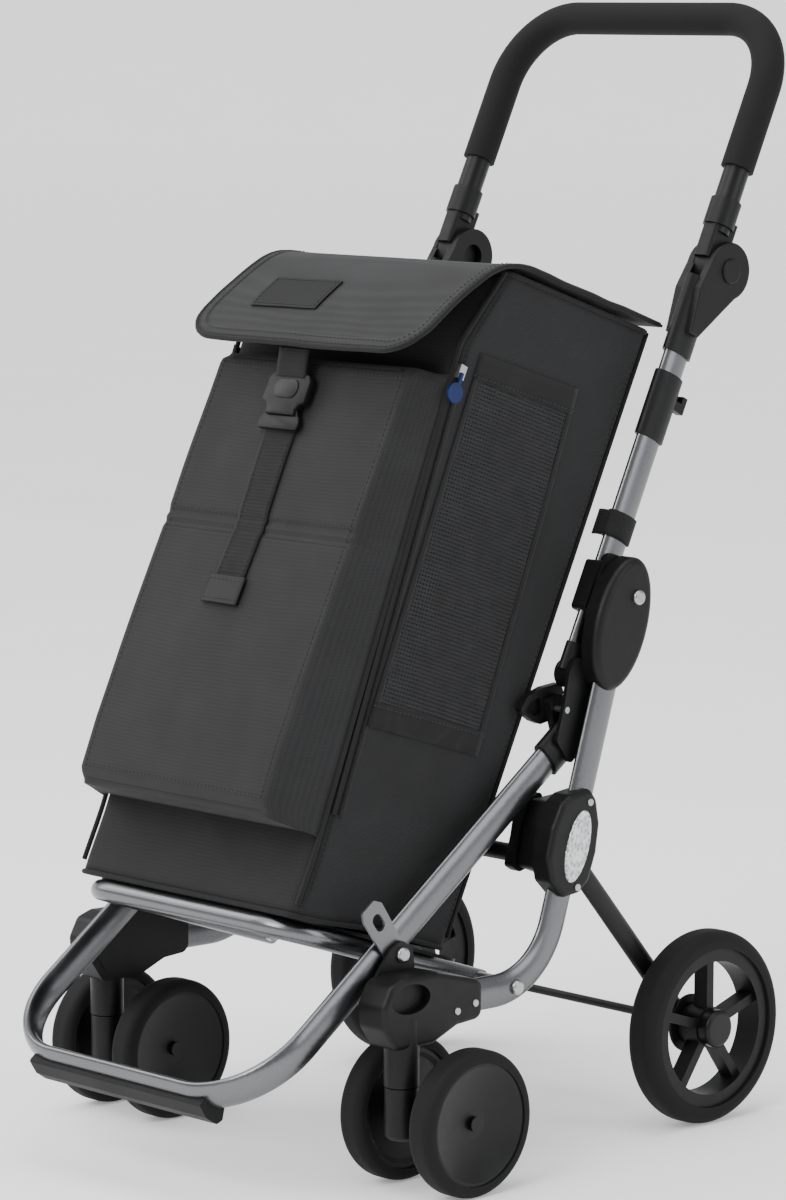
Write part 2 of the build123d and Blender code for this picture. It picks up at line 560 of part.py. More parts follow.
def handle_bar(low_u, radius, bore):
    """Round bar along the handle's U, from low_u on one side to low_u on the other."""
    with BuildPart() as bar:
        with BuildLine(HANDLE_PLANE) as path:
            FilletPolyline(
                (UPRIGHT_X, low_u),
                (UPRIGHT_X, HANDLE_TOP_U),
                (-UPRIGHT_X, HANDLE_TOP_U),
                (-UPRIGHT_X, low_u),
                radius=HANDLE_CORNER,
            )
        with BuildSketch(Plane(origin=path.line @ 0, x_dir=(1, 0, 0), z_dir=path.line % 0)):
            Circle(radius)
            if bore:
                Circle(bore, mode=Mode.SUBTRACT)
        sweep()
    return bar.part


export(handle_bar(430.02, HANDLE_R, HANDLE_R - 1.5), "handle_tube")
export(handle_bar(GRIP_LOW_U, GRIP_R, HANDLE_R + 0.02), "handle_grip")

# ---- bag: open-topped shell leaning back with the uprights ----
BAG_WALL = 4.0
BAG_OUT = [(16, -270), (202, -293), (236, 222), (212, 298), (16, 322)]
BAG_IN = [(20, -262), (197, -285), (231, 222), (208, 310), (20, 334)]
with BuildPart() as bag_body:
    with BuildSketch(bag_side(BAG_HALF)):
        Polygon(*BAG_OUT, align=None)
    extrude(amount=2 * BAG_HALF)
    with BuildSketch(bag_side(BAG_HALF - BAG_WALL)):
        Polygon(*BAG_IN, align=None)
    extrude(amount=2 * (BAG_HALF - BAG_WALL), mode=Mode.SUBTRACT)
    add(platform_tube.part, mode=Mode.SUBTRACT)
    add(base_board.part, mode=Mode.SUBTRACT)
export(bag_body.part, "bag_body")

# ---- front pocket: sewn on the bag's front, its sides drawn in towards the front ----
POCKET_BACK_HALF, POCKET_FRONT_HALF, POCKET_DEPTH = 141.0, 122.0, 36.0
with BuildPart() as front_pocket:
    with BuildSketch(bag_front(-20, 232)):
        Rectangle(2 * POCKET_BACK_HALF, 416)
    with BuildSketch(bag_front(-20, 232 + POCKET_DEPTH)):
        Rectangle(2 * POCKET_FRONT_HALF, 404)
    loft()
    with BuildSketch(bag_side(POCKET_BACK_HALF)):
        Polygon((200, -228), (233, -228), (233, 180), (200, 170), align=None)
    extrude(amount=2 * POCKET_BACK_HALF)
    with BuildSketch(bag_side(BAG_HALF + 1)):
        Polygon((100, -400), (202, -293), (236, 222), (212, 400), (100, 400), align=None)
    extrude(amount=2 * BAG_HALF + 2, mode=Mode.SUBTRACT)
export(front_pocket.part, "front_pocket")

# ---- mesh pockets on the bag's sides ----
with BuildPart() as mesh_pocket:
    with BuildSketch(bag_side(BAG_HALF + 3)):
        Polygon((205, 217), (84, 234), (58, -102), (188, -120), align=None)
    extrude(amount=3)
export_pair(mesh_pocket, "mesh_pockets")

# ---- closure: strap down the pocket, prongs of the buckle, and the flap's half of the buckle ----
STRAP_X, STRAP_HALF, STRAP_V = -8.0, 19.0, 268.2
with BuildPart() as strap:
    with BuildSketch(bag_front(38, STRAP_V)):
        with Locations((STRAP_X, 0)):
            Rectangle(2 * STRAP_HALF, 150)
    extrude(amount=2.2)
    with BuildSketch(bag_front(-42, STRAP_V)):
        with Locations((STRAP_X, 0)):
            Rectangle(2 * STRAP_HALF + 6, 24)
    extrude(amount=4.5)
export(strap.part, "closure_strap")

with BuildPart() as buckle_prongs:
    with BuildSketch(bag_front(119, STRAP_V + 0.1)):
        with Locations((STRAP_X, 0)):
            Rectangle(50, 11)
        with Locations((STRAP_X - 18, 17), (STRAP_X + 18, 17), (STRAP_X, 17)):
            Rectangle(7, 24)
    extrude(amount=6)
export(buckle_prongs.part, "buckle_prongs")

with BuildPart() as buckle_socket:
    with BuildSketch(bag_front(146, STRAP_V + 0.1)):
        with Locations((STRAP_X, 0)):
            RectangleRounded(54, 40, 8)
    extrude(amount=9.5)
    with BuildSketch(bag_front(144, STRAP_V)):
        with Locations((STRAP_X, -8)):
            Rectangle(46, 50)
    extrude(amount=6.8, mode=Mode.SUBTRACT)
    with BuildSketch(bag_side(STRAP_X + STRAP_HALF)):
        Polygon((270.5, 162), (276, 162), (286.7, 184.2), (283.4, 189.9), align=None)
    extrude(amount=2 * STRAP_HALF)
export(buckle_socket.part, "buckle_socket")

# ---- flap: lid hinged on the bag's rear top edge, roofing over the pocket ----
FLAP_HALF = 150.0
FLAP_LINE = [(8, 331), (214, 306), (287, 184), (290.4, 186.1), (216.6, 309.6), (8, 335)]
with BuildPart() as flap:
    with BuildSketch(bag_side(FLAP_HALF)):
        Polygon(*FLAP_LINE, align=None)
    extrude(amount=2 * FLAP_HALF)
    lip_corners = flap.edges().filter_by(lambda edge: edge.length < 5).group_by(Axis.Y)[0]
    fillet(lip_corners, 36)
export(flap.part, "flap")

ROOF_RUN = hypot(290.4 - 216.6, 309.6 - 186.1)
ROOF_DIR = ((216.6 - 290.4) / ROOF_RUN, (309.6 - 186.1) / ROOF_RUN)
PATCH_X, PATCH_SIZE = -35.0, (96.0, 34.0)
patch_y, patch_z = at(186.1 + 62 * ROOF_DIR[1], 290.4 + 62 * ROOF_DIR[0])
roof_up = (0, ROOF_DIR[1] * SIN - ROOF_DIR[0] * COS, ROOF_DIR[1] * COS + ROOF_DIR[0] * SIN)
ROOF_PLANE = Plane(origin=(PATCH_X, patch_y, patch_z), x_dir=(1, 0, 0), z_dir=(0, -roof_up[2], roof_up[1]))
with BuildPart() as flap_patch:
    with BuildSketch(ROOF_PLANE):
        RectangleRounded(*PATCH_SIZE, 4)
    extrude(amount=2)
export(flap_patch.part, "flap_patch")

# ---- zip on the bag's right-hand seam: slider and round charm ----
ZIP_X = BAG_HALF + 0.2
CHARM_GAP = 4.6
with BuildPart() as zip_slider:
    with BuildSketch(bag_side(ZIP_X)):
        with Locations((228, 196)):
            Rectangle(8, 13)
    extrude(amount=-4.5)
export(zip_slider.part, "zip_slider")

with BuildPart() as zip_charm:
    with BuildSketch(bag_side(ZIP_X + CHARM_GAP)):
        with Locations((230, 176)):
            Circle(9)
        with Locations((229, 189)):
            Rectangle(3, 12)
    extrude(amount=-2.1)
export(zip_charm.part, "zip_charm")

# ---- fasteners: domed bolts with washers and nuts at the frame's joints, screws in the shells ----
HEAD_R, HEAD_H = 7.0, 4.0
with BuildPart() as frame_bolts:
    add(dome_bolt(158, 199, PIVOT_Y, PIVOT_Z, BOLT_R, HEAD_R, HEAD_H))
    add(dome_bolt(124, 194.6, DECK_Y, DECK_Z, BOLT_R, HEAD_R, HEAD_H))
    add(rod(147.7, 181.3, DECK_Y, DECK_Z, HEAD_R))
    add(rod(122, 128.3, DECK_Y, DECK_Z, HEAD_R))
    add(rod(160, 199.8, KNEE_Y, KNEE_Z, BOLT_R))
    add(rod(156.5, 160.3, KNEE_Y, KNEE_Z, HEAD_R))
    add(dome_bolt(158, 181, BRACE_Y, BRACE_Z, BOLT_R, HEAD_R, HEAD_H))
    add(rod(155.5, 160.2, BRACE_Y, BRACE_Z, HEAD_R))
    add(rod(150.4, 179.6, LEVER_Y, LEVER_Z, 3))
export_pair(frame_bolts, "frame_bolts")

with BuildPart() as shell_screws:
    for end, screw_y, screw_z in ((211, -128, 157), (211, -106, 161), (203, 46, 319), (203, 30, 244)):
        add(dome_bolt(end - 4.9, end, screw_y, screw_z, 2, 3.4, 1.2))
export_pair(shell_screws, "shell_screws")
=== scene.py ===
from math import cos, hypot, pi, radians, sin, sqrt

import bmesh
import bpy
from mathutils import Matrix, Vector, noise


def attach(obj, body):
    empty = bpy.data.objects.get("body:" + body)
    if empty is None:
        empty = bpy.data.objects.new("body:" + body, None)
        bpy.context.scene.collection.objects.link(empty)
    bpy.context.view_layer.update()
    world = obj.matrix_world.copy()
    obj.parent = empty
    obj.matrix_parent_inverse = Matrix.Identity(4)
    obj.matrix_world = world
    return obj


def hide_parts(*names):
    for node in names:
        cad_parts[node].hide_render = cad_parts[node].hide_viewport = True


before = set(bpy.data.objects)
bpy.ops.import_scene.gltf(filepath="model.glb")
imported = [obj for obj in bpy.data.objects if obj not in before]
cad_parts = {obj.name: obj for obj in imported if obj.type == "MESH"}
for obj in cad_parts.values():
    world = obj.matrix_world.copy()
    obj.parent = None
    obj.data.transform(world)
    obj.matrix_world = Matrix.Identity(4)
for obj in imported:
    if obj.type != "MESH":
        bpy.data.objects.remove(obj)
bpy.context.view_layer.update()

LEAN = radians(25.8)
SIN, COS = sin(LEAN), cos(LEAN)
CENTRE = -5.98


def P(x, v, u):
    """Point of the leaning bag's own grid (mm: x across, v forwards, u up the lean) in metres."""
    return Vector((x, 57 + CENTRE + u * SIN - v * COS, 430 + u * COS + v * SIN)) / 1000


# ---------------------------------------------------------------- materials

def ramp(nodes, links, source, stops):
    node = nodes.new("ShaderNodeValToRGB")
    for element, (place, colour) in zip(node.color_ramp.elements, (stops[0], stops[-1])):
        element.position, element.color = place, (*colour, 1)
    for place, colour in stops[1:-1]:
        node.color_ramp.elements.new(place).color = (*colour, 1)
    links.new(source, node.inputs["Fac"])
    return node.outputs["Color"]


def shade(colour, k):
    return tuple(min(1.0, c * k) for c in colour)


class Maker:
    """Small helper that builds one node material."""

    def __init__(self, name, slot):
        self.mat = bpy.data.materials.new(name)
        self.mat.use_nodes = True
        self.nodes, self.links = self.mat.node_tree.nodes, self.mat.node_tree.links
        self.bsdf = self.nodes["Principled BSDF"]
        self.coord = self.nodes.new("ShaderNodeTexCoord").outputs["Object"]
        self.slot = slot

    def scaled(self, scale, turn=(0, 0, 0)):
        node = self.nodes.new("ShaderNodeMapping")
        node.inputs["Scale"].default_value = scale
        node.inputs["Rotation"].default_value = turn
        self.links.new(self.coord, node.inputs["Vector"])
        return node.outputs["Vector"]

    def noise(self, vector, scale, detail=3.0):
        node = self.nodes.new("ShaderNodeTexNoise")
        node.inputs["Scale"].default_value = scale
        node.inputs["Detail"].default_value = detail
        self.links.new(vector, node.inputs["Vector"])
        return node.outputs["Fac"]

    def wave(self, vector, scale, axis, distortion=0.0):
        node = self.nodes.new("ShaderNodeTexWave")
        node.bands_direction = axis
        node.inputs["Scale"].default_value = scale
        node.inputs["Distortion"].default_value = distortion
        self.links.new(vector, node.inputs["Vector"])
        return node.outputs["Fac"]

    def cells(self, vector, scale, feature="F1"):
        node = self.nodes.new("ShaderNodeTexVoronoi")
        node.feature = feature
        node.inputs["Scale"].default_value = scale
        self.links.new(vector, node.inputs["Vector"])
        return node.outputs["Distance"]

    def math(self, operation, a, b):
        node = self.nodes.new("ShaderNodeMath")
        node.operation = operation
        for socket, value in zip(node.inputs, (a, b)):
            if isinstance(value, (int, float)):
                socket.default_value = value
            else:
                self.links.new(value, socket)
        return node.outputs["Value"]

    def bump(self, height, strength, distance):
        node = self.nodes.new("ShaderNodeBump")
        node.inputs["Strength"].default_value = strength
        node.inputs["Distance"].default_value = distance
        self.links.new(height, node.inputs["Height"])
        self.links.new(node.outputs["Normal"], self.bsdf.inputs["Normal"])

    def spread(self, source, low, high):
        node = self.nodes.new("ShaderNodeMapRange")
        node.inputs["To Min"].default_value = low
        node.inputs["To Max"].default_value = high
        self.links.new(source, node.inputs["Value"])
        return node.outputs["Result"]

    def set(self, **values):
        for name, value in values.items():
            socket = self.bsdf.inputs[name.replace("_", " ")]
            if isinstance(value, bpy.types.NodeSocket):
                self.links.new(value, socket)
            else:
                socket.default_value = value
        return self


def fabric(name, slot, colour, pitch=2.2, depth=0.00030, vary=0.30, sheen=0.05, rough=0.84):
    """Woven cloth: two crossing yarns, blotchy tone, and a soft sheen."""
    m = Maker(name, slot)
    k = 314 / pitch
    warp = m.wave(m.scaled((1, 1, 1)), k, "X")
    weft = m.wave(m.scaled((1, 1, 1), (-LEAN, 0, 0)), k, "Z")
    weave = m.math("MULTIPLY", warp, weft)
    blotch = m.noise(m.coord, 26, 4)
    fine = m.noise(m.coord, 900, 2)
    tone = m.math("ADD", m.math("MULTIPLY", weave, 0.45), m.math("MULTIPLY", blotch, 0.55))
    m.set(Base_Color=ramp(m.nodes, m.links, tone, [(0.18, shade(colour, 1 - vary)), (0.5, colour),
                                                   (0.85, shade(colour, 1 + vary * 1.6))]),
          Roughness=m.spread(fine, rough - 0.07, rough + 0.08), Sheen_Weight=sheen, Sheen_Roughness=0.5,
          Specular_IOR_Level=0.3)
    m.bump(m.math("ADD", weave, m.math("MULTIPLY", fine, 0.5)), 0.55, depth)
    return m


def plastic(name, slot, colour, rough=0.45, grain=1500.0, depth=0.00006, vary=0.2):
    """Moulded plastic: fine eroded grain, slightly uneven gloss, faint dust in random patches."""
    m = Maker(name, slot)
    cells = m.cells(m.coord, grain)
    cloud = m.noise(m.coord, 18, 5)
    m.set(Base_Color=ramp(m.nodes, m.links, cloud, [(0.3, shade(colour, 1 - vary)), (0.55, colour),
                                                    (0.8, shade(colour, 1 + vary * 2))]),
          Roughness=m.spread(m.noise(m.coord, 120, 4), rough - 0.08, rough + 0.12), Specular_IOR_Level=0.24)
    m.bump(m.math("ADD", cells, m.math("MULTIPLY", cloud, 0.3)), 0.35, depth)
    return m


def metal(name, slot, colour, rough=0.3, stretch=(1, 1, 1), metallic=1.0, vary=0.06):
    """Drawn or brushed metal: hairline streaks, smudges, and an uneven gloss."""
    m = Maker(name, slot)
    streak = m.noise(m.scaled(stretch), 700, 3)
    smudge = m.noise(m.coord, 14, 5)
    m.set(Base_Color=ramp(m.nodes, m.links, m.math("ADD", m.math("MULTIPLY", streak, 0.4),
                                                   m.math("MULTIPLY", smudge, 0.6)),
                          [(0.3, shade(colour, 1 - vary)), (0.75, shade(colour, 1 + vary))]),
          Metallic=metallic, Roughness=m.spread(m.math("ADD", m.math("MULTIPLY", streak, 0.5),
                                                       m.math("MULTIPLY", smudge, 0.5)),
                                                rough - 0.06, rough + 0.1))
    m.bump(streak, 0.15, 0.00003)
    return m


def rubber(name, slot, colour, rough=0.75, scale=260.0, depth=0.0002, vary=0.3):
    m = Maker(name, slot)
    pores = m.noise(m.coord, scale, 6)
    dust = m.noise(m.coord, 20, 5)
    m.set(Base_Color=ramp(m.nodes, m.links, dust, [(0.35, shade(colour, 1 - vary)), (0.55, colour),
                                                   (0.78, shade(colour, 1 + vary * 2.2))]),
          Roughness=m.spread(dust, rough - 0.08, min(1.0, rough + 0.12)), Specular_IOR_Level=0.25)
    m.bump(m.math("ADD", pores, m.cells(m.coord, scale * 4)), 0.4, depth)
    return m


def mesh_net(name, slot, colour):
    """Knitted net: small holes between rounded threads."""
    m = Maker(name, slot)
    across = m.wave(m.scaled((1, 1, 1), (-LEAN + radians(45), 0, 0)), 88, "Y")
    along = m.wave(m.scaled((1, 1, 1), (-LEAN - radians(45), 0, 0)), 88, "Y")
    thread = m.math("MAXIMUM", across, along)
    cover = m.math("GREATER_THAN", thread, 0.45)
    m.set(Base_Color=ramp(m.nodes, m.links, m.noise(m.coord, 60, 3),
                          [(0.3, shade(colour, 0.8)), (0.7, shade(colour, 1.3))]),
          Roughness=m.spread(thread, 0.7, 0.95), Alpha=cover)
    m.bump(thread, 0.6, 0.0004)
    return m


def webbing_mat(name, slot, colour):
    """Ribbed strap webbing."""
    m = Maker(name, slot)
    ribs = m.wave(m.scaled((1, 1, 1), (-LEAN, 0, 0)), 150, "Z", 0.4)
    yarn = m.wave(m.coord, 260, "X")
    blotch = m.noise(m.coord, 60, 3)
    m.set(Base_Color=ramp(m.nodes, m.links, m.math("MULTIPLY", ribs, blotch),
                          [(0.05, shade(colour, 0.75)), (0.45, shade(colour, 1.5))]),
          Roughness=m.spread(blotch, 0.62, 0.85), Sheen_Weight=0.03, Specular_IOR_Level=0.25)
    m.bump(m.math("ADD", ribs, m.math("MULTIPLY", yarn, 0.4)), 0.7, 0.0003)
    return m


M = {
    "bag": fabric("bag_cloth", "bag_fabric", (0.0095, 0.0096, 0.0103)),
    "pocket": fabric("pocket_cloth", "bag_fabric", (0.0130, 0.0131, 0.0138)),
    "flap": fabric("flap_cloth", "flap_fabric", (0.0200, 0.0203, 0.0212)),
    "trim": fabric("trim_cloth", "webbing", (0.0055, 0.0055, 0.0060), pitch=0.9),
    "net": mesh_net("net", "mesh_fabric", (0.011, 0.011, 0.012)),
    "webbing": webbing_mat("webbing", "webbing", (0.0030, 0.0030, 0.0033)),
    "thread": fabric("thread", "webbing", (0.030, 0.031, 0.033), pitch=0.5, vary=0.3),
    "tube": metal("satin_tube", "satin_tube", (0.150, 0.153, 0.160), rough=0.27, vary=0.1),
    "black_tube": plastic("powder_coat", "black_tube", (0.0035, 0.0035, 0.0038), rough=0.36, grain=2600),
    "plastic": plastic("moulded_black", "black_plastic", (0.0030, 0.0030, 0.0033)),
    "gloss": plastic("smooth_black", "black_plastic", (0.0035, 0.0035, 0.0038), rough=0.34, grain=3000),
    "tyre": rubber("tyre_rubber", "black_tyre", (0.0040, 0.0040, 0.0043)),
    "pad": rubber("pad_rubber", "black_rubber", (0.0040, 0.0040, 0.0042), rough=0.6),
    "foam": rubber("foam", "foam_grip", (0.0050, 0.0050, 0.0054), rough=0.8, scale=700, depth=0.0002),
    "patch": rubber("patch_rubber", "patch_rubber", (0.0045, 0.0046, 0.0050), rough=0.5, scale=500,
                    depth=0.0001),
    "steel": metal("zinc_steel", "bright_steel", (0.40, 0.40, 0.41), rough=0.3),
    "sheet": metal("sheet_steel", "bright_steel", (0.17, 0.17, 0.175), rough=0.36),
    "charm": plastic("blue_charm", "blue_plastic", (0.003, 0.013, 0.065), rough=0.24, grain=800, vary=0.25),
}
glass = Maker("reflector_lens", "clear_reflector")
prisms = glass.cells(glass.coord, 260)
glass.set(Base_Color=ramp(glass.nodes, glass.links, prisms,
                          [(0.1, (0.25, 0.26, 0.27)), (0.7, (0.66, 0.67, 0.68))]),
          Roughness=glass.spread(prisms, 0.08, 0.25), Metallic=0.45, Coat_Weight=1.0, Coat_Roughness=0.05)
glass.bump(prisms, 0.8, 0.0009)
M["glass"] = glass

NODE_LOOKS = {
    "side_tubes": "tube", "front_frame_tube": "tube", "upright_tubes": "tube", "handle_tube": "black_tube",
    "platform_tube": "tube", "tab_bracket": "sheet", "rear_legs": "black_tube", "cross_bar": "plastic",
    "rear_axle": "black_tube", "castor_axle": "gloss", "frame_bolts": "steel", "shell_screws": "steel",
    "zip_slider": "steel", "kick_pad": "pad", "handle_grip": "foam", "reflectors": "glass",
    "rear_tyre": "tyre", "castor_tyre": "tyre", "castor_hub": "gloss", "hub_cap": "gloss",
    "zip_charm": "charm",
}
for node_name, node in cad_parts.items():
    look = next((v for k, v in NODE_LOOKS.items() if node_name.startswith(k)), "plastic")
    node.data.materials.clear()
    node.data.materials.append(M[look].mat)


# ---------------------------------------------------------------- mesh helpers

def make(name, verts, faces, look, body, smooth=True):
    """A mesh piece in metres that rides on a body and takes the look's material."""
    mesh = bpy.data.meshes.new(name)
    mesh.from_pydata([tuple(p) for p in verts], [], faces)
    mesh.validate()
    tidy = bmesh.new()
    tidy.from_mesh(mesh)
    bmesh.ops.remove_doubles(tidy, verts=tidy.verts, dist=1e-6)
    bmesh.ops.recalc_face_normals(tidy, faces=tidy.faces)
    tidy.to_mesh(mesh)
    tidy.free()
    piece = bpy.data.objects.new(name, mesh)
    bpy.context.scene.collection.objects.link(piece)
    mesh.materials.append(M[look].mat)
    for polygon in mesh.polygons:
        polygon.use_smooth = smooth
    piece["ride"] = body
    return piece


def grid(rows, closed=False):
    """Vertices and faces of a net of points given row by row."""
    width = len(rows[0])
    verts = [p for row in rows for p in row]
    faces = []
    for i in range(len(rows) - 1):
        for j in range(width if closed else width - 1):
            k = (j + 1) % width
            faces.append((i * width + j, i * width + k, (i + 1) * width + k, (i + 1) * width + j))
    return verts, faces


def thick(piece, millimetres, offset=-1.0):
    modifier = piece.modifiers.new("thick", "SOLIDIFY")
    modifier.thickness, modifier.offset = millimetres / 1000, offset
    return piece


def settle(piece):
    """Apply the modifiers, then ride on the piece's body."""
    graph = bpy.context.evaluated_depsgraph_get()
    graph.update()
    mesh = bpy.data.meshes.new_from_object(piece.evaluated_get(graph))
    piece.modifiers.clear()
    piece.data = mesh
    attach(piece, piece["ride"])
    return piece


def tube(name, points, radius, look, body, closed=False, sides=8):
    """Round cord of cloth along a line of points, such as piping."""
    rows = []
    count = len(points)
    for i, p in enumerate(points):
        before = points[i - 1 if i or closed else i]
        after = points[(i + 1) % count if i + 1 < count or closed else i]
        ahead = (after - before).normalized()
        side = ahead.cross(Vector((0.31, 0.22, 0.93))).normalized()
        up = side.cross(ahead)
        rows.append([p + (side * cos(2 * pi * k / sides) + up * sin(2 * pi * k / sides)) * radius / 1000
                     for k in range(sides)])
    if closed:
        rows.append(rows[0])
    verts, faces = grid(rows, closed=True)
    if not closed:
        faces += [tuple(range(sides)), tuple(len(verts) - sides + k for k in range(sides))]
    return make(name, verts, faces, look, body)


def walk(points, step):
    """Points spaced evenly along a polyline of vectors, with the direction there."""
    out, carry = [], 0.0
    for a, b in zip(points, points[1:]):
        length = (b - a).length
        place = carry
        while place < length:
            out.append((a + (b - a) * (place / length), (b - a).normalized()))
            place += step
        carry = place - length
    return out


def stitches(name, lines, outward, body, look="thread", pitch=5.0, length=3.2, thickness=0.42):
    """Rows of single stitches lying on the cloth."""
    verts, faces = [], []
    for line in lines:
        for centre, ahead in walk(line, pitch / 1000):
            out = outward(centre) if callable(outward) else outward
            side = ahead.cross(out).normalized()
            base = len(verts)
            for reach, size in ((-1, 0.25), (-0.55, 1), (0.55, 1), (1, 0.25)):
                for dx, dz in ((1, 0), (0, 1), (-1, 0), (0, -0.6)):
                    verts.append(centre + ahead * (reach * length / 2000)
                                 + (side * dx + out * dz) * (size * thickness / 1000))
            for ring in range(3):
                for k in range(4):
                    a, b = base + ring * 4 + k, base + ring * 4 + (k + 1) % 4
                    faces.append((a, b, b + 4, a + 4))
            faces += [(base + 3, base + 2, base + 1, base), (base + 12, base + 13, base + 14, base + 15)]
    return make(name, verts, faces, look, body)


def prism(name, outline, place, low, high, bevel, look, body):
    """Plate with an outline (a, b), laid by place(a, b, height), its edges bevelled in mm."""
    verts = [place(a, b, low) for a, b in outline] + [place(a, b, high) for a, b in outline]
    n = len(outline)
    faces = [tuple(range(n))[::-1], tuple(range(n, 2 * n))]
    faces += [(i, (i + 1) % n, n + (i + 1) % n, n + i) for i in range(n)]
    piece = make(name, verts, faces, look, body)
    modifier = piece.modifiers.new("edge", "BEVEL")
    modifier.width, modifier.segments, modifier.limit_method = bevel / 1000, 3, "ANGLE"
    modifier.angle_limit = radians(28)
    return piece


def rounded(width, height, radius, cx=0.0, cy=0.0, steps=6):
    """Outline of a rounded rectangle."""
    out = []
    for qx, qy, start in ((1, 1, 0), (-1, 1, 90), (-1, -1, 180), (1, -1, 270)):
        for i in range(steps + 1):
            a = radians(start + 90 * i / steps)
            out.append((cx + qx * (width / 2 - radius) + radius * cos(a),
                        cy + qy * (height / 2 - radius) + radius * sin(a)))
    return out


OUT = (P(0, 1, 0) - P(0, 0, 0)).normalized()
SIDE = Vector((1, 0, 0))


def smooth(t):
    t = max(0.0, min(1.0, t))
    return t * t * (3 - 2 * t)


def crease(x, v, u, seed):
    """Soft folds that run mostly down the cloth, in mm."""
    a = noise.noise(Vector((x * 0.012 + seed, v * 0.020, u * 0.0045)))
    b = noise.noise(Vector((x * 0.030, v * 0.045 + seed, u * 0.011)))
    return 2.6 * a + 1.1 * b


def fold(v, u, seed):
    """Sharper slanting folds where the cloth slumps near the bottom, in mm."""
    slant = noise.noise(Vector((v * 0.011 + u * 0.016 + seed, u * 0.006 - v * 0.004, seed)))
    return 5.0 * max(0.0, 0.32 - abs(slant)) / 0.32


# ---------------------------------------------------------------- the bag's shell

BAG_HALF = 144.0


def bag_front_v(t):
    return 202 + 34 * min(1, t / 0.87) - max(0, t - 0.87) / 0.13 * 24


def bag_point(x, w, t, sink=0.0):
    """w runs 0 to 1 from the bag's back to its front, t from its bottom to its rim."""
    v = 16 + w * (bag_front_v(t) - 16)
    u = (-270 - 23 * w) * (1 - t) + (322 - 24 * w) * t
    edge = sin(pi * max(0, min(1, w))) * sin(pi * min(1, t * 1.02))
    low = smooth((0.42 - t) / 0.42)
    if abs(x) > BAG_HALF - 15:
        slump = (fold(v, u, 2.3) - 2.2) * low * 0.9 * edge
        x += (1 if x > 0 else -1) * (edge * (1.2 + crease(x, v, u, 3.1) * 0.95) + slump)
    across = max(0.0, cos(pi * x / 2 / BAG_HALF)) * sin(pi * t)
    if w > 0.94:
        v -= across * (2 + 0.5 * abs(crease(x, v, u, 7.7)))
        if t < 0.11:
            v += (fold(x, u, 5.5) - 1.0) * 0.9 * across
    droop = smooth((0.1 - t) / 0.1) * smooth((w - 0.45) / 0.5)
    v += 3.0 * droop
    u -= 6.5 * droop
    if w < 0.06:
        v += across * (1.5 + 0.8 * crease(x, v, u, 5.2))
    return P(x, v, u - sink)


def perimeter():
    """Round the bag once: (x, w) of a rounded rectangle."""
    out = []
    for x, v in rounded(2 * BAG_HALF, 200, 13, 0, 100, 5):
        if out:
            px, pv = out[-1]
            steps = max(1, int(hypot(x - px, v - pv) / 9))
            out += [(px + (x - px) * k / steps, pv + (v - pv) * k / steps) for k in range(1, steps)]
        out.append((x, v))
    px, pv = out[-1]
    x, v = out[0]
    steps = max(1, int(hypot(x - px, v - pv) / 9))
    out += [(px + (x - px) * k / steps, pv + (v - pv) * k / steps) for k in range(1, steps)]
    return [(x, v / 200) for x, v in out]


ring = perimeter()
rows = []
for k in (0.12, 0.4, 0.7, 0.93):
    rows.append([bag_point(x * k, 0.5 + (w - 0.5) * k, 0.0, -1.0) for x, w in ring])
rows += [[bag_point(x, w, i / 72) for x, w in ring] for i in range(73)]
verts, faces = grid(rows, closed=True)
faces.append(tuple(range(len(ring))))
bag = thick(make("bag_shell", verts, faces, "bag", "chassis"), 2.4)
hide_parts("bag_body")
settle(bag)

for sign, side_name in ((1, "right"), (-1, "left")):
    front_edge = [bag_point(sign * (BAG_HALF - 2.2), 0.992, i / 60) + OUT * 0.0006 for i in range(1, 61)]
    settle(tube(f"piping_front_{side_name}", front_edge, 2.3, "trim", "chassis"))
    back_edge = [bag_point(sign * (BAG_HALF - 2.6), 0.012, i / 60) for i in range(1, 61)]
    settle(tube(f"piping_back_{side_name}", back_edge, 2.1, "trim", "chassis"))
    seam = [bag_point(sign * (BAG_HALF - 0.1), 0.955, i / 60) + SIDE * sign * 0.0004 for i in range(2, 59)]
    back = [bag_point(sign * (BAG_HALF - 0.1), 0.05, i / 60) + SIDE * sign * 0.0004 for i in range(2, 59)]
    settle(stitches(f"seam_thread_{side_name}", [seam, back], SIDE * sign, "chassis", "trim"))
rim = [bag_point(x, w, 1.0) for x, w in ring]
settle(tube("piping_rim", rim, 2.4, "trim", "chassis", closed=True))
hem = [bag_point(x, w, 0.0) for x, w in ring]
settle(tube("piping_bottom", hem, 2.4, "trim", "chassis", closed=True))


# ---------------------------------------------------------------- front pocket

POCKET_LOW, POCKET_TOP, SEAM_U = -229.0, 187.0, 24.0


def pocket_v(x, u):
    """How far forward the pocket's face stands at x, u."""
    low, high = (POCKET_LOW, SEAM_U) if u < SEAM_U else (SEAM_U, POCKET_TOP)
    panel = sin(pi * max(0.0, min(1.0, (u - low) / (high - low))))
    across = cos(pi * max(-1, min(1, x / 124)) / 2) ** 0.6
    belly = (4.6 if u < SEAM_U else 2.2) * panel * across
    ends = 9 * (smooth((u - POCKET_LOW) / 13) + smooth((POCKET_TOP - u) / 11) - 2)
    folds = 0.9 * crease(x, 260, u, 11.3) * panel
    groove = -1.6 * (max(0.0, 1 - abs(u - SEAM_U - 5) / 5) + max(0.0, 1 - abs(u - SEAM_U + 5) / 5))
    return 264.0 + belly + folds + ends + groove - 5 * max(0.0, (POCKET_LOW + 60 - u) / 60) * 0.6


def bag_face(u):
    return 202 + 34 * max(0.0, min(1.0, (u + 293) / 515))


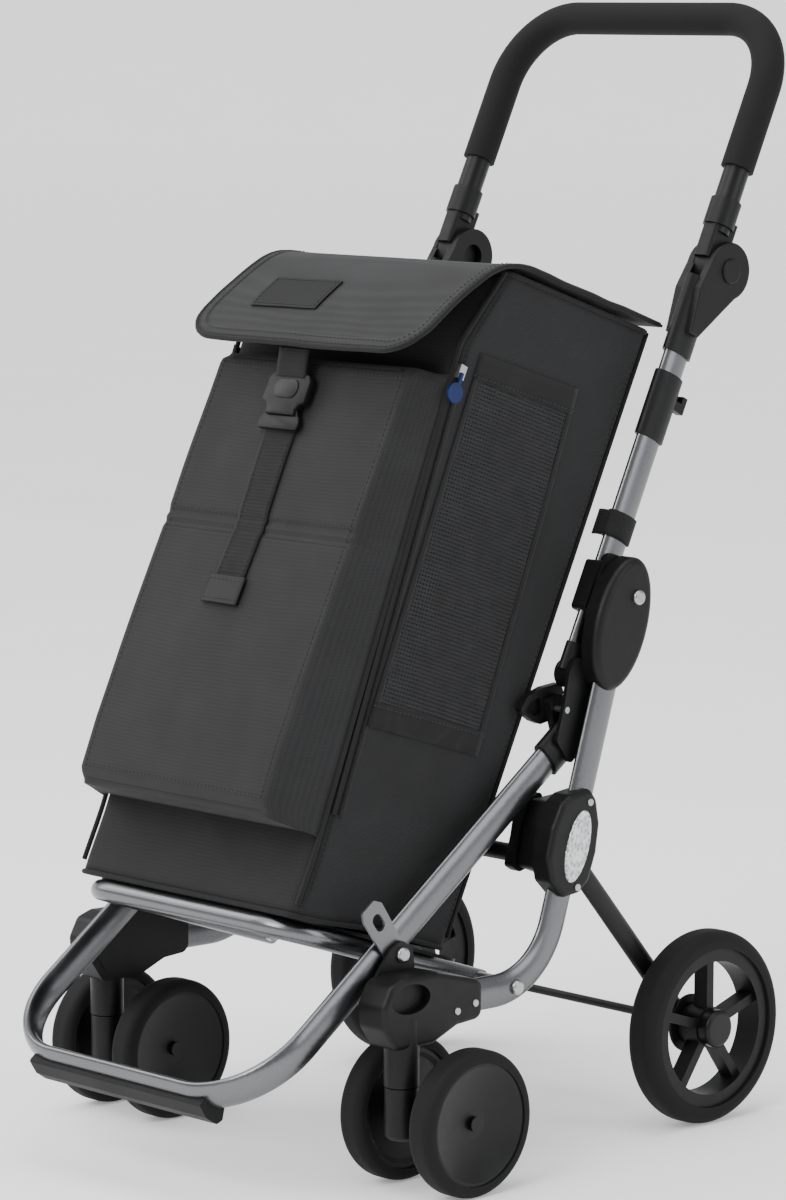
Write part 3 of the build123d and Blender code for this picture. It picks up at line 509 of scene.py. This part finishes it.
def pocket_row(u):
    """Cross-section: back edge, gusset, rounded corner, face, and back again."""
    out = []
    for k in range(9):
        f = k / 8
        out.append((-141 + 15 * smooth(f * 0.9), bag_face(u) - 1 + (pocket_v(-120, u) - 6 - bag_face(u)) * f))
    for k in range(1, 6):
        a = radians(90 * k / 6)
        out.append((-125.6 + 7 * (1 - cos(a)), pocket_v(-119, u) - 7 + 7 * sin(a)))
    xs = [-118.0 + 236.0 * k / 44 for k in range(45)]
    half = out
    face = [(x, pocket_v(x, u)) for x in xs]
    return [P(x, v, u) for x, v in half + face + [(-x, v) for x, v in reversed(half)]]


stations = sorted({POCKET_LOW + (POCKET_TOP - POCKET_LOW) * k / 96 for k in range(97)}
                  | {POCKET_LOW + 3, POCKET_TOP - 3}
                  | {SEAM_U + near for near in (-5, -2.5, 0, 2.5, 5)})
rows = [pocket_row(u) for u in stations]
bottom = [P((p.x * 1000) * 0.995, bag_face(POCKET_LOW) - 1, POCKET_LOW + 3) for p in rows[0]]
top = [P((p.x * 1000) * 0.995, bag_face(POCKET_TOP) - 1, POCKET_TOP + 4) for p in rows[-1]]
verts, faces = grid([bottom] + rows + [top])
pocket = thick(make("pocket_shell", verts, faces, "pocket", "chassis"), 1.6)
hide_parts("front_pocket")
settle(pocket)


def on_pocket(x, u, lift=0.0):
    return P(x, pocket_v(x, u) + lift, u)


lines = [[on_pocket(x, SEAM_U + d, 0.5) for x in range(-118, 119, 4)] for d in (-8.5, 8.5)]
lines += [[on_pocket(x, POCKET_LOW + 15, 0.4) for x in range(-116, 117, 4)]]
lines += [[on_pocket(s * 116, u, 0.4) for u in range(-214, 182, 4)] for s in (1, -1)]
lines += [[on_pocket(x, POCKET_TOP - 13, 0.4) for x in range(-116, 117, 4)]]
settle(stitches("pocket_stitching", lines, OUT, "chassis"))
edge_line = ([on_pocket(-120.5, u, -2.2) for u in range(180, -224, -6)]
             + [on_pocket(x, -224, -1.5) for x in range(-114, 115, 6)]
             + [on_pocket(120.5, u, -2.2) for u in range(-222, 182, 6)])
settle(tube("pocket_piping", edge_line, 1.5, "trim", "chassis"))
zip_line = [on_pocket(x, POCKET_TOP - 5.5, 0.4) for x in range(-112, 113, 3)]
settle(tube("pocket_zip", zip_line, 2.0, "trim", "chassis", sides=6))


# ---------------------------------------------------------------- zip down the bag's right-hand seam

def zip_point(u, across, lift):
    v = 228 - (196 - u) * 15 / 185 + across
    return P(BAG_HALF + lift, v, u)


for sign, side_name in ((1, "right"), (-1, "left")):
    def mirrored(p):
        return Vector((p.x * sign, p.y, p.z))

    tape = [[mirrored(zip_point(u, across, 0.5 + 0.5 * (abs(across) < 4)))
             for across in (-7, -5, -3.4, -1.2, 1.2, 3.4, 5, 7)] for u in range(-206, 208, 6)]
    settle(thick(make(f"zip_tape_{side_name}", *grid(tape), "trim", "chassis"), 0.8))
    teeth = [mirrored(zip_point(u, 0, 1.5)) for u in range(-204, 206, 2)]
    settle(stitches(f"zip_teeth_{side_name}", [teeth], SIDE * sign, "chassis", "gloss", 1.7, 1.1, 1.7))


# ---------------------------------------------------------------- mesh side pockets with bands

MESH = ((211, 221), (83, 240), (57, -102), (198, -123))


def mesh_point(a, b, lift):
    """a: 0 at the back edge to 1 at the front, b: 0 at the bottom to 1 at the top."""
    (fv, fu), (bv, bu), (lv, lu), (rv, ru) = MESH
    v = (lv * (1 - a) + rv * a) * (1 - b) + (bv * (1 - a) + fv * a) * b
    u = (lu * (1 - a) + ru * a) * (1 - b) + (bu * (1 - a) + fu * a) * b
    t = (u + 281) / 592
    w = (v - 16) / (bag_front_v(t) - 16)
    base = bag_point(BAG_HALF - 0.1, w, t).x * 1000
    slack = 1.6 * sin(pi * a) * sin(pi * b) + 0.4 * crease(0, v, u, 9.4) * sin(pi * a) * sin(pi * b)
    return Vector((base + 0.7 + slack + lift, v, u))


for sign, side_name in ((1, "right"), (-1, "left")):
    def lay(a, b, lift=0.0):
        p = mesh_point(a, b, lift)
        return P(sign * p.x, p.y, p.z)

    net = thick(make(f"net_{side_name}", *grid([[lay(a / 24, b / 44) for a in range(25)] for b in range(45)]),
                     "net", "chassis"), 0.5)
    if sign > 0:
        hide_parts("mesh_pockets")
    settle(net)
    for label, low, high in (("top", 0.93, 1.0), ("bottom", 0.0, 0.065)):
        band = [[lay(a / 24, low + (high - low) * b / 3, 0.9) for a in range(25)] for b in range(4)]
        settle(thick(make(f"net_band_{label}_{side_name}", *grid(band), "trim", "chassis"), 1.2))
    for label, low, high in (("back", 0.0, 0.045), ("front", 0.955, 1.0)):
        band = [[lay(low + (high - low) * a / 3, b / 44, 0.8) for a in range(4)] for b in range(45)]
        settle(thick(make(f"net_band_{label}_{side_name}", *grid(band), "trim", "chassis"), 1.0))
    thread = [[lay(a / 30, b, 1.2) for a in range(31)] for b in (0.94, 0.055)]
    settle(stitches(f"net_thread_{side_name}", thread, SIDE * sign, "chassis"))


# ---------------------------------------------------------------- flap

FLAP_HALF, LIP_CORNER = 148.5, 38.0
BACK, CREST, LIP = (9.0, 333.0), (215.5, 309.0), (294.0, 186.0)
TOP_RUN = hypot(CREST[0] - BACK[0], CREST[1] - BACK[1])
ROOF_RUN = hypot(LIP[0] - CREST[0], LIP[1] - CREST[1])
CREST_REACH = 34.0


def flap_line(s):
    """v, u and the outward normal (v, u) at s mm from the flap's rear edge."""
    top = ((CREST[0] - BACK[0]) / TOP_RUN, (CREST[1] - BACK[1]) / TOP_RUN)
    roof = ((LIP[0] - CREST[0]) / ROOF_RUN, (LIP[1] - CREST[1]) / ROOF_RUN)
    k = smooth((s - TOP_RUN + CREST_REACH) / (2 * CREST_REACH))
    if s < TOP_RUN:
        v, u = BACK[0] + top[0] * s, BACK[1] + top[1] * s
    else:
        v, u = CREST[0] + roof[0] * (s - TOP_RUN), CREST[1] + roof[1] * (s - TOP_RUN)
    n = (-(top[1] * (1 - k) + roof[1] * k), top[0] * (1 - k) + roof[0] * k)
    size = hypot(*n)
    dip = 6.0 * max(0.0, 1 - abs(s - TOP_RUN) / CREST_REACH) ** 2
    return v - n[0] / size * dip, u - n[1] / size * dip, n[0] / size, n[1] / size


def flap_point(x, s, lift=0.0):
    v, u, nv, nu = flap_line(s)
    a = x / FLAP_HALF
    sag = 0.0
    if s < TOP_RUN:
        sag -= 4.5 * (1 - a * a) * sin(pi * s / TOP_RUN) + 0.6 * crease(x, s, 0, 21.0) * sin(pi * s / TOP_RUN)
    else:
        f = (s - TOP_RUN) / ROOF_RUN
        sag += 8.5 * sin(pi * min(1, f)) ** 0.8 * (1 - 0.25 * a * a) + 0.5 * crease(x, s, 0, 15.0) * f
    lift += sag
    return P(x, v + nv * lift, u + nu * lift)


def flap_half(s):
    left = TOP_RUN + ROOF_RUN - s
    if left >= LIP_CORNER:
        return FLAP_HALF
    return FLAP_HALF - LIP_CORNER + sqrt(max(0.0, LIP_CORNER ** 2 - (LIP_CORNER - left) ** 2))


END = TOP_RUN + ROOF_RUN
marks = [END * k / 84 for k in range(78)] + [END - left for left in (26, 21, 16, 12, 8, 5, 2.5, 0.8, 0)]
marks = sorted({round(s, 3) for s in marks} | {round(TOP_RUN + d, 3) for d in (-9, -5, -2, 0, 2, 5, 9)})
rows = []
for s in marks:
    half = flap_half(s)
    inner = half - 11
    xs = [-half, -half + 4, -half + 8] + [-inner + 2 * inner * k / 44 for k in range(45)]
    xs += [half - 8, half - 4, half]
    rows.append([flap_point(x, s) for x in xs])
flap = thick(make("flap_sheet", *grid(rows), "flap", "flap"), 2.4, 0.0)
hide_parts("flap")
settle(flap)


def rim_path(inset, lift, low=4):
    """Line round the flap's free edges, inset from them."""
    right = []
    s = low
    while s < END - inset:
        left = END - inset - s
        corner = LIP_CORNER - inset
        half = FLAP_HALF - inset
        if left < corner:
            half = FLAP_HALF - inset - corner + sqrt(max(0.0, corner ** 2 - (corner - left) ** 2))
        right.append((half, s))
        s += 5 if left > corner + 5 else max(0.35, left * 0.12)
    end_half = right[-1][0]
    across = [(end_half - 2 * end_half * k / 40, END - inset) for k in range(1, 40)]
    return [flap_point(x, q, lift) for x, q in right + across + [(-x, q) for x, q in reversed(right)]]


settle(tube("flap_binding", rim_path(0.6, 0.0), 2.5, "trim", "flap"))


def resample(points, n):
    lengths = [0.0]
    for a, b in zip(points, points[1:]):
        lengths.append(lengths[-1] + (b - a).length)
    out, i = [], 0
    for k in range(n):
        target = lengths[-1] * k / (n - 1)
        while i < len(points) - 2 and lengths[i + 1] < target:
            i += 1
        f = (target - lengths[i]) / max(1e-9, lengths[i + 1] - lengths[i])
        out.append(points[i] + (points[i + 1] - points[i]) * min(1, max(0, f)))
    return out


def band_rows(inset_low, inset_high, lift):
    """Matching points of two lines round the rim, so that a band can lie between them."""
    rows_out = []
    for f in (0.0, 0.33, 0.67, 1.0):
        rows_out.append(resample(rim_path(inset_low + (inset_high - inset_low) * f, lift), 260))
    return rows_out


settle(thick(make("flap_border", *grid(band_rows(0.8, 12.5, 1.5)), "flap", "flap"), 0.7))
flap_normal_top = (flap_point(0, 60, 1) - flap_point(0, 60, 0)).normalized()
flap_normal_roof = (flap_point(0, END - 40, 1) - flap_point(0, END - 40, 0)).normalized()


def flap_out(p):
    along = (p - P(0, 0, 0)).dot(OUT) * 1000
    return flap_normal_top.lerp(flap_normal_roof, smooth((along - 205) / 20)).normalized()


settle(stitches("flap_stitching", [rim_path(10.0, 1.9), rim_path(3.4, 1.9)], flap_out, "flap"))

PATCH_X, PATCH_S, PATCH_W, PATCH_H = -47.0, TOP_RUN + 84, 86.0, 42.0
patch_net = [[flap_point(PATCH_X + PATCH_W * (a / 20 - 0.5), PATCH_S + PATCH_H * (b / 10 - 0.5),
                         2.9 + (0.7 if a in (0, 1, 19, 20) or b in (0, 1, 9, 10) else 0.0))
              for a in range(21)] for b in range(11)]
patch = thick(make("flap_patch_pad", *grid(patch_net), "patch", "flap"), 1.7, -1.0)
bevelled = patch.modifiers.new("edge", "BEVEL")
bevelled.width, bevelled.segments, bevelled.limit_method = 0.0006, 2, "ANGLE"
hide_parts("flap_patch")
settle(patch)
frame_line = [(PATCH_X + dx * (PATCH_W / 2 - 3), PATCH_S + dy * (PATCH_H / 2 - 3))
              for dx, dy in ((-1, -1), (1, -1), (1, 1), (-1, 1), (-1, -1))]
dense = []
for (ax, ay), (bx, by) in zip(frame_line, frame_line[1:]):
    dense += [(ax + (bx - ax) * k / 12, ay + (by - ay) * k / 12) for k in range(12)]
settle(stitches("patch_stitching", [[flap_point(x, s, 3.9) for x, s in dense + [dense[0]]]],
                flap_normal_roof, "flap"))


# ---------------------------------------------------------------- closure strap and buckle

STRAP_X = -8.0


def strap_piece(name, x0, x1, u0, u1, lift, thickness, look="webbing", body="chassis"):
    rows_here = [[on_pocket(x0 + (x1 - x0) * a / 10, u0 + (u1 - u0) * b / 40, lift) for a in range(11)]
                 for b in range(41)]
    return thick(make(name, *grid(rows_here), look, body), thickness, -1.0)


strap = strap_piece("strap_webbing", STRAP_X - 19, STRAP_X + 19, -38, 118, 2.5, 2.0)
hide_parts("closure_strap")
settle(strap)
settle(strap_piece("strap_tab", STRAP_X - 23, STRAP_X + 23, -52, -26, 4.6, 2.6, "patch"))
sew = [[on_pocket(STRAP_X + s * 15, u, 2.8) for u in range(-24, 108, 4)] for s in (1, -1)]
sew += [[on_pocket(STRAP_X + x, -30, 4.9) for x in range(-20, 21, 4)],
        [on_pocket(STRAP_X + x, -48, 4.9) for x in range(-20, 21, 4)]]
settle(stitches("strap_thread", sew, OUT, "chassis"))


def buckle_at(a, b, h):
    return P(STRAP_X + a, 268.3 + h, 146 + b)


socket_outline = [(-27, -8), (-27, 12), (-24, 18), (-17, 20), (17, 20), (24, 18), (27, 12), (27, -8),
                  (21, -10), (18, -15), (19, -20), (-19, -20), (-18, -15), (-21, -10)]
socket = prism("buckle_body", socket_outline, buckle_at, 0.2, 9.3, 1.6, "plastic", "flap")
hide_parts("buckle_socket")
settle(socket)
raised = prism("buckle_boss", rounded(30, 18, 8, 0, 4), buckle_at, 9.0, 10.4, 0.7, "gloss", "flap")
settle(raised)
male_outline = [(-25, -33), (25, -33), (26, -26), (24, -21), (22, -20), (19, -14), (16, -14), (14, -20),
                (-14, -20), (-16, -14), (-19, -14), (-22, -20), (-24, -21), (-26, -26)]
male = prism("buckle_male", male_outline, buckle_at, 0.2, 6.0, 1.2, "plastic", "chassis")
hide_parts("buckle_prongs")
settle(male)
tail_rows = []
for k in range(13):
    f = k / 12
    v = 276.5 + 7.6 * f
    u = 160 + 27 * f
    tail_rows.append([P(STRAP_X - 19 + 38 * a / 8, v, u) for a in range(9)])
settle(thick(make("flap_strap", *grid(tail_rows), "webbing", "flap"), 2.0, 0.0))


# ---------------------------------------------------------------- loops that tie the bag to the uprights

for sign, side_name in ((1, "right"), (-1, "left")):
    loop_rows = []
    for b in range(6):
        u = 128.6 + 24 * b / 5
        row = []
        for k in range(36):
            a = 2 * pi * k / 36
            row.append(P(sign * (167 + 9.0 * cos(a)), 17.4 * sin(a), u))
        loop_rows.append(row)
    loop_sheet = make(f"loop_{side_name}", *grid(loop_rows, closed=True), "webbing", "upright_frame")
    loop = thick(loop_sheet, 1.3, -1.0)
    if sign > 0:
        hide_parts("bag_loops")
    settle(loop)
    tab_rows = [[P(sign * (149.2 + 12 * a / 5), 12.5 + 1.2 * sin(pi * a / 5), 128.6 + 24 * b / 5)
                 for a in range(6)] for b in range(6)]
    settle(thick(make(f"loop_tab_{side_name}", *grid(tab_rows), "webbing", "upright_frame"), 1.6, 0.0))

# ---------------------------------------------------------------- floor, light, camera

mesh = bpy.data.meshes.new("floor")
reach = []
for k in range(41):
    f = k / 40
    if f < 0.6:
        reach.append((-30 + 60 * f / 0.6, 0.0))
    else:
        a = pi / 2 * (f - 0.6) / 0.4
        reach.append((30 + 14 * sin(a), 14 * (1 - cos(a))))
direction = Vector((-sin(radians(46)), cos(radians(46)), 0))
across = Vector((direction.y, -direction.x, 0))
verts, faces = grid([[direction * r + across * s + Vector((0, 0, z)) for s in (-60, -20, 20, 60)]
                     for r, z in reach])
mesh.from_pydata([tuple(p) for p in verts], [], faces)
floor_piece = bpy.data.objects.new("floor", mesh)
bpy.context.scene.collection.objects.link(floor_piece)
paper = Maker("paper", "bag_fabric")
paper.set(Base_Color=ramp(paper.nodes, paper.links, paper.noise(paper.coord, 3, 3),
                          [(0.3, (0.86, 0.86, 0.855)), (0.7, (0.89, 0.89, 0.887))]), Roughness=0.9,
          Emission_Color=(1, 1, 1, 1), Emission_Strength=0.25)
mesh.materials.append(paper.mat)
for polygon in mesh.polygons:
    polygon.use_smooth = True


def area_light(name, place, target, size, power, colour=(1, 1, 1)):
    light = bpy.data.lights.new(name, "AREA")
    light.shape, light.size, light.size_y = "RECTANGLE", size[0], size[1]
    light.energy, light.color = power, colour
    lamp = bpy.data.objects.new(name, light)
    lamp.location = place
    lamp.rotation_euler = (Vector(target) - Vector(place)).to_track_quat("-Z", "Y").to_euler()
    bpy.context.scene.collection.objects.link(lamp)


area_light("key", (0.6, -3.8, 3.0), (0, 0, 0.5), (2.2, 1.8), 110, (1.0, 0.985, 0.96))
area_light("fill", (3.4, 1.0, 2.0), (0, 0, 0.5), (2.0, 2.4), 45, (0.95, 0.975, 1.0))
area_light("left", (-3.0, -1.6, 2.2), (0, 0, 0.5), (1.6, 2.4), 45)
area_light("top", (0.2, 0.3, 3.6), (0, 0, 0.2), (2.4, 2.4), 30)
sun = bpy.data.lights.new("sky", "SUN")
sun.energy, sun.angle = 2.3, radians(70)
sun_lamp = bpy.data.objects.new("sky", sun)
sun_lamp.rotation_euler = (radians(18), radians(-12), 0)
bpy.context.scene.collection.objects.link(sun_lamp)
world = bpy.data.worlds.new("studio")
world.use_nodes = True
world.node_tree.nodes["Background"].inputs["Color"].default_value = (0.93, 0.94, 0.96, 1)
world.node_tree.nodes["Background"].inputs["Strength"].default_value = 0.7
bpy.context.scene.world = world

camera_data = bpy.data.cameras.new("camera")
camera_data.lens, camera_data.sensor_width = 135.6, 36
camera_data.clip_end = 200
camera = bpy.data.objects.new("camera", camera_data)
AZ, EL = radians(46.04), radians(7.53)
ahead = Vector((-sin(AZ) * cos(EL), cos(AZ) * cos(EL), -sin(EL)))
turn = ahead.to_track_quat("-Z", "Y").to_matrix().to_4x4() @ Matrix.Rotation(radians(0.12), 4, "Z")
camera.matrix_world = Matrix.Translation((2.9394, -2.8439, 1.0255)) @ turn
bpy.context.scene.collection.objects.link(camera)
bpy.context.scene.camera = camera
